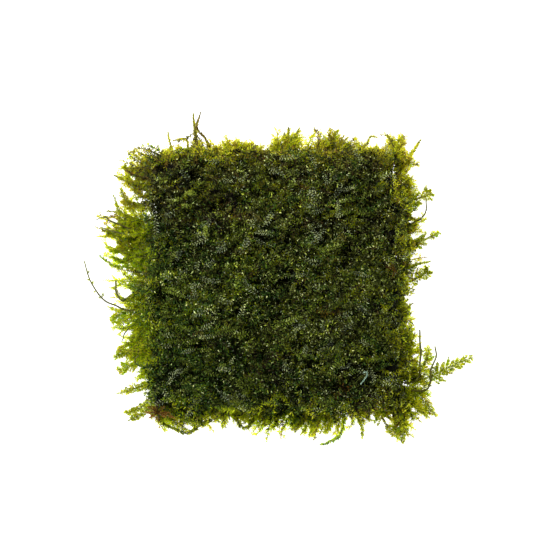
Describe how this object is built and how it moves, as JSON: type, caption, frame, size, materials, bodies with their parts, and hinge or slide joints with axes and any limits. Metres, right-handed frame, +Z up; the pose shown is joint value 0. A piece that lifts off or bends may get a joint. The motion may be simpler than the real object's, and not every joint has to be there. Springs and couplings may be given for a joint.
{
  "type": "moss clump",
  "caption": "Square mat of wet, fine-leaved aquatic moss lying flat, dense and dark in the middle, with bright leafy shoots and thin bare stems fringing all its sides.",
  "frame": {"origin": "middle of the flat underside, where the turf lies on its surface", "axes": "+Z up out of the turf; the square turf's sides run along X and Y; +X towards the side with the longest frond, at the front corner; the long hair-like stem leaves at -X"},
  "size_m": [0.1209, 0.1031, 0.0132],
  "materials": {
    "turf_green": "very dark olive, wet and finely leafy",
    "fringe_green": "yellow-green translucent leaves, wet",
    "bare_stem": "olive, smooth and wet",
    "dead_moss": "orange-brown, withered",
    "tie_thread": "blue-green nylon thread, smooth"
  },
  "bodies": {
    "root": {"dead_sprig": "dead_moss", "frond_arch_front_left": "fringe_green", "frond_arch_front_middle": "fringe_green", "frond_back_01": "fringe_green", "frond_back_02": "fringe_green", "frond_back_03": "fringe_green", "frond_back_04": "fringe_green", "frond_back_05": "fringe_green", "frond_back_06": "fringe_green", "frond_back_07": "fringe_green", "frond_back_08": "fringe_green", "frond_back_09": "fringe_green", "frond_back_10": "fringe_green", "frond_back_11": "fringe_green", "frond_front_01": "fringe_green", "frond_front_02": "fringe_green", "frond_front_03": "fringe_green", "frond_front_04": "fringe_green", "frond_front_05": "fringe_green", "frond_front_06": "fringe_green", "frond_front_07": "fringe_green", "frond_front_08": "fringe_green", "frond_front_09": "fringe_green", "frond_left_01": "fringe_green", "frond_left_02": "fringe_green", "frond_left_03": "fringe_green", "frond_left_04": "fringe_green", "frond_left_05": "fringe_green", "frond_left_06": "fringe_green", "frond_left_07": "fringe_green", "frond_left_08": "fringe_green", "frond_left_09": "fringe_green", "frond_left_10": "fringe_green", "frond_left_11": "fringe_green", "frond_left_12": "fringe_green", "frond_left_13": "fringe_green", "frond_left_14": "fringe_green", "frond_right_01": "fringe_green", "frond_right_02": "fringe_green", "frond_right_03": "fringe_green", "frond_right_04": "fringe_green", "frond_right_05": "fringe_green", "frond_right_06": "fringe_green", "frond_right_07": "fringe_green", "moss_turf": "turf_green", "stem_left_curl": "bare_stem", "stem_left_high": "bare_stem", "stem_left_long": "bare_stem", "stem_left_loop": "bare_stem", "stem_left_low": "bare_stem", "stem_left_thin": "bare_stem", "stem_right_inner": "bare_stem", "stem_right_outer": "bare_stem", "stem_right_ring": "bare_stem", "tie_thread_end": "tie_thread", "tie_thread_loop": "tie_thread"}
  },
  "joints": []
}
